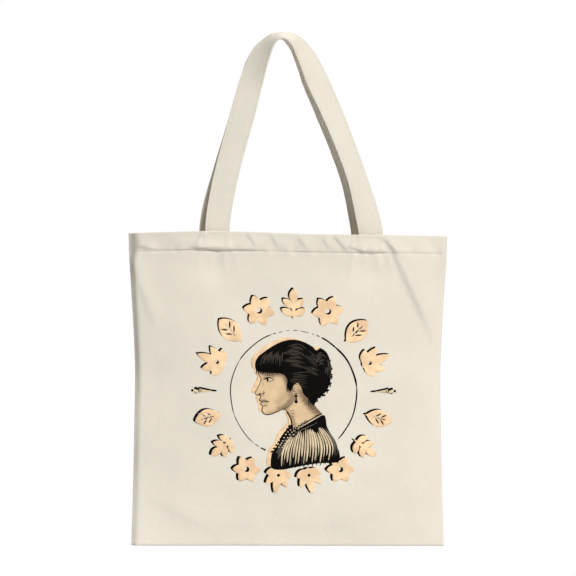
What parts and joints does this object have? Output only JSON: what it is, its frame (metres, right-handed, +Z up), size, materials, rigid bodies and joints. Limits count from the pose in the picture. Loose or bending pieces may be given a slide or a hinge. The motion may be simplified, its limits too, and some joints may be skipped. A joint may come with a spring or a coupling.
{
  "type": "canvas tote bag",
  "caption": "Flat canvas tote bag with long shoulder straps, folded mouth hems, inner seams and a round two-colour print of ornaments round a bust.",
  "frame": {"origin": "the point where the straps rest on a hook, at the underside of the straps' crown and midway between the front and the back strap", "axes": "+Z up, out of the bag's mouth; -Y out of the printed front panel; +X to the right of someone who looks at the front"},
  "size_m": [0.388, 0.0599, 0.6257],
  "materials": {
    "canvas": "plain weave, matt",
    "strap": "plain weave, matt",
    "thread": "twisted cotton, matt",
    "black_ink": "thin screen ink, the weave shows through",
    "peach_ink": "thin screen ink, the weave shows through"
  },
  "bodies": {
    "bag_back": {"back_panel": "canvas", "back_hem_thread": "thread", "back_strap_left_end": "strap", "back_strap_right_end": "strap", "back_left_box_thread": "thread", "back_right_box_thread": "thread", "left_seam_allowance": "canvas", "right_seam_allowance": "canvas", "bottom_seam_allowance": "canvas", "left_overlock_thread": "thread", "right_overlock_thread": "thread", "bottom_overlock_thread": "thread"},
    "bag_front": {"front_panel": "canvas", "front_hem_thread": "thread", "front_strap_left_end": "strap", "front_strap_right_end": "strap", "front_left_box_thread": "thread", "front_right_box_thread": "thread", "black_print": "black_ink", "peach_print": "peach_ink"},
    "front_handle": {"front_strap": "strap", "front_strap_thread": "thread"},
    "back_handle": {"back_strap": "strap", "back_strap_thread": "thread"}
  },
  "joints": [
    {"name": "mouth_open", "type": "hinge", "parent": "bag_back", "child": "bag_front", "pos_m": [0.006, 0, -0.625], "axis": [1, 0, 0], "range_deg": [0, 10]},
    {"name": "front_handle_swing", "type": "hinge", "parent": "bag_front", "child": "front_handle", "pos_m": [0.014, -0.016, -0.245], "axis": [1, 0, 0], "range_deg": [0, 170]},
    {"name": "back_handle_swing", "type": "hinge", "parent": "bag_back", "child": "back_handle", "pos_m": [0.006, 0.016, -0.245], "axis": [-1, 0, 0], "range_deg": [0, 170]}
  ]
}
